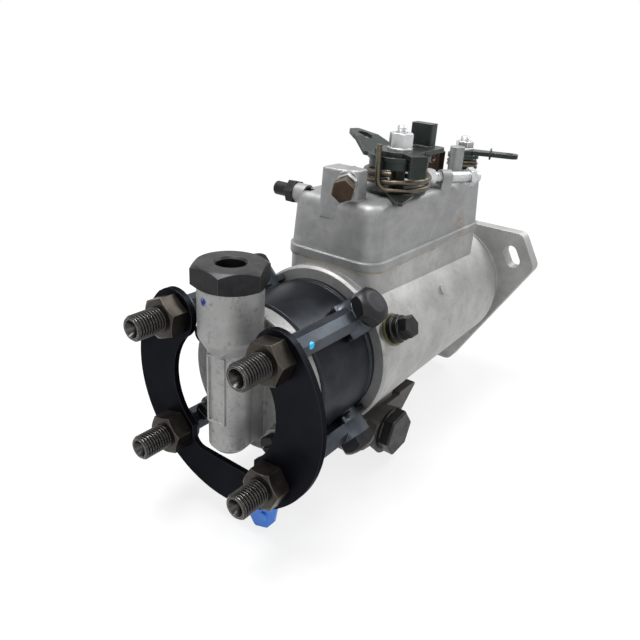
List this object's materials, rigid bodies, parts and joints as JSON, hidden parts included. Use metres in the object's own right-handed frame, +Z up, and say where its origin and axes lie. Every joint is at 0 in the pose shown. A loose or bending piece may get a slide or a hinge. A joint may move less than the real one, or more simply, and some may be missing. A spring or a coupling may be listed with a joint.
{
  "type": "diesel injection pump",
  "caption": "Distributor diesel injection pump with a governor under a cast cover, an upright fuel inlet and outlets held by a clamp ring.",
  "frame": {"origin": "centre of the flange face that bolts to the engine", "axes": "+Y out of the drive end along the shaft, +Z up through the governor cover"},
  "size_m": [0.1182, 0.261, 0.1817],
  "materials": {
    "cast_aluminium": "bead blasted casting",
    "black_oxide": "black, semi-gloss",
    "black_phosphate": "dark phosphate",
    "brown_steel": "brown-grey phosphate",
    "zinc_steel": "bright zinc plate",
    "ground_steel": "hardened and ground",
    "spring_steel": "brown-grey spring wire",
    "steel_sheet": "pressed sheet",
    "gasket_paper": "tan paper gasket",
    "seal_rubber": "black rubber",
    "washer_seal": "olive plated washer",
    "blue_plastic": "blue plastic",
    "dark_casting": "dark grey-brown casting"
  },
  "bodies": {
    "housing": {"advance_end_plugs": "black_phosphate", "advance_housing": "dark_casting", "advance_spring": "spring_steel", "advance_studs": "black_phosphate", "backleak_union": "black_phosphate", "banjo_bolts": "black_oxide", "blue_tag": "blue_plastic", "control_bracket": "steel_sheet", "cover_bolts": "black_phosphate", "cover_gasket": "gasket_paper", "drive_seal": "seal_rubber", "end_plate": "cast_aluminium", "end_plate_screws": "black_phosphate", "governor_cover": "cast_aluminium", "governor_spring": "spring_steel", "head_lock_screws": "black_oxide", "head_lock_washers": "washer_seal", "hydraulic_head": "black_oxide", "idle_stop_screw": "brown_steel", "inlet_adaptor": "black_phosphate", "max_speed_screw": "zinc_steel", "outlet_adaptors": "black_phosphate", "outlet_clamp_ring": "black_oxide", "outlet_nuts": "brown_steel", "pump_housing": "cast_aluminium", "shutoff_spring": "spring_steel", "spring_seat_plate": "black_oxide", "stop_block": "brown_steel", "stop_lock_nuts": "zinc_steel", "transfer_liner": "ground_steel"},
    "drive_train": {"distributor_rotor": "ground_steel", "drive_plate": "ground_steel", "drive_shaft": "ground_steel", "drive_hub": "ground_steel", "governor_cage": "steel_sheet", "transfer_rotor": "ground_steel"},
    "pump_set_right": {"plunger_right": "ground_steel", "roller_shoe_right": "ground_steel"},
    "pump_set_left": {"plunger_left": "ground_steel", "roller_shoe_left": "ground_steel"},
    "weight_1": {"governor_weight_1": "ground_steel"},
    "weight_2": {"governor_weight_2": "ground_steel"},
    "weight_3": {"governor_weight_3": "ground_steel"},
    "weight_4": {"governor_weight_4": "ground_steel"},
    "sleeve": {"thrust_sleeve": "ground_steel"},
    "arm": {"governor_arm": "steel_sheet"},
    "rod": {"linkage_rod": "steel_sheet"},
    "metering": {"metering_valve": "ground_steel"},
    "cam": {"cam_ring": "ground_steel", "cam_advance_screw": "ground_steel"},
    "advance": {"advance_piston": "ground_steel"},
    "throttle": {"throttle_shaft": "ground_steel", "throttle_lever": "black_oxide", "throttle_stop_plate": "black_oxide", "throttle_nut": "zinc_steel", "throttle_spring": "spring_steel"},
    "shutoff": {"shutoff_shaft": "ground_steel", "shutoff_lever": "black_phosphate", "shutoff_nut": "zinc_steel"},
    "regulator": {"valve_piston": "ground_steel"}
  },
  "joints": [
    {"name": "drive_spin", "type": "hinge", "parent": "housing", "child": "drive_train", "pos_m": [0, 0, 0], "axis": [0, 1, 0], "continuous": true},
    {"name": "plunger_right_stroke", "type": "slide", "parent": "drive_train", "child": "pump_set_right", "axis": [1, 0, 0], "range_m": [0, 0.0022]},
    {"name": "plunger_left_stroke", "type": "slide", "parent": "drive_train", "child": "pump_set_left", "axis": [-1, 0, 0], "range_m": [0, 0.0022]},
    {"name": "weight_1_swing", "type": "hinge", "parent": "drive_train", "child": "weight_1", "pos_m": [0.01414, -0.105, 0.01414], "axis": [0.7071, 0, -0.7071], "range_deg": [0, 12.24]},
    {"name": "weight_2_swing", "type": "hinge", "parent": "drive_train", "child": "weight_2", "pos_m": [-0.01414, -0.105, 0.01414], "axis": [0.7071, 0, 0.7071], "range_deg": [0, 12.24]},
    {"name": "weight_3_swing", "type": "hinge", "parent": "drive_train", "child": "weight_3", "pos_m": [-0.01414, -0.105, -0.01414], "axis": [-0.7071, 0, 0.7071], "range_deg": [0, 12.24]},
    {"name": "weight_4_swing", "type": "hinge", "parent": "drive_train", "child": "weight_4", "pos_m": [0.01414, -0.105, -0.01414], "axis": [-0.7071, 0, -0.7071], "range_deg": [0, 12.24]},
    {"name": "sleeve_slide", "type": "slide", "parent": "housing", "child": "sleeve", "axis": [0, 1, 0], "range_m": [0, 0.00161]},
    {"name": "arm_swing", "type": "hinge", "parent": "housing", "child": "arm", "pos_m": [0, -0.078, 0.033], "axis": [1, 0, 0], "range_deg": [0, 3.43], "deforming": ["governor_spring"]},
    {"name": "rod_slide", "type": "slide", "parent": "housing", "child": "rod", "axis": [0, -1, 0], "range_m": [0, 0.00144]},
    {"name": "metering_turn", "type": "hinge", "parent": "housing", "child": "metering", "pos_m": [0, -0.1455, 0.04], "axis": [0, 0, -1], "range_deg": [0, 10.28]},
    {"name": "cam_turn", "type": "hinge", "parent": "housing", "child": "cam", "pos_m": [0, -0.1317, 0], "axis": [0, 1, 0], "range_deg": [0, 6]},
    {"name": "advance_slide", "type": "slide", "parent": "housing", "child": "advance", "axis": [-1, 0, 0], "range_m": [0, 0.0056], "deforming": ["advance_spring"]},
    {"name": "throttle_turn", "type": "hinge", "parent": "housing", "child": "throttle", "pos_m": [0.012, -0.116, 0.09], "axis": [0, 0, 1], "range_deg": [0, 40], "deforming": ["governor_spring"]},
    {"name": "shutoff_turn", "type": "hinge", "parent": "housing", "child": "shutoff", "pos_m": [0.017, -0.049, 0.09], "axis": [0, 0, 1], "range_deg": [0, 40]},
    {"name": "regulator_slide", "type": "slide", "parent": "housing", "child": "regulator", "axis": [0, 0, 1], "range_m": [0, 0.003]}
  ],
  "couplings": [
    {"joint": "plunger_left_stroke", "follows": "plunger_right_stroke", "ratio": 1},
    {"joint": "weight_1_swing", "follows": "sleeve_slide", "rad_per_m": 129.87},
    {"joint": "weight_2_swing", "follows": "sleeve_slide", "rad_per_m": 129.87},
    {"joint": "weight_3_swing", "follows": "sleeve_slide", "rad_per_m": 129.87},
    {"joint": "weight_4_swing", "follows": "sleeve_slide", "rad_per_m": 129.87},
    {"joint": "arm_swing", "follows": "sleeve_slide", "rad_per_m": 36.364},
    {"joint": "rod_slide", "follows": "sleeve_slide", "ratio": 0.87273},
    {"joint": "metering_turn", "follows": "sleeve_slide", "rad_per_m": 109.09},
    {"joint": "advance_slide", "follows": "cam_turn", "m_per_rad": 0.0524}
  ]
}
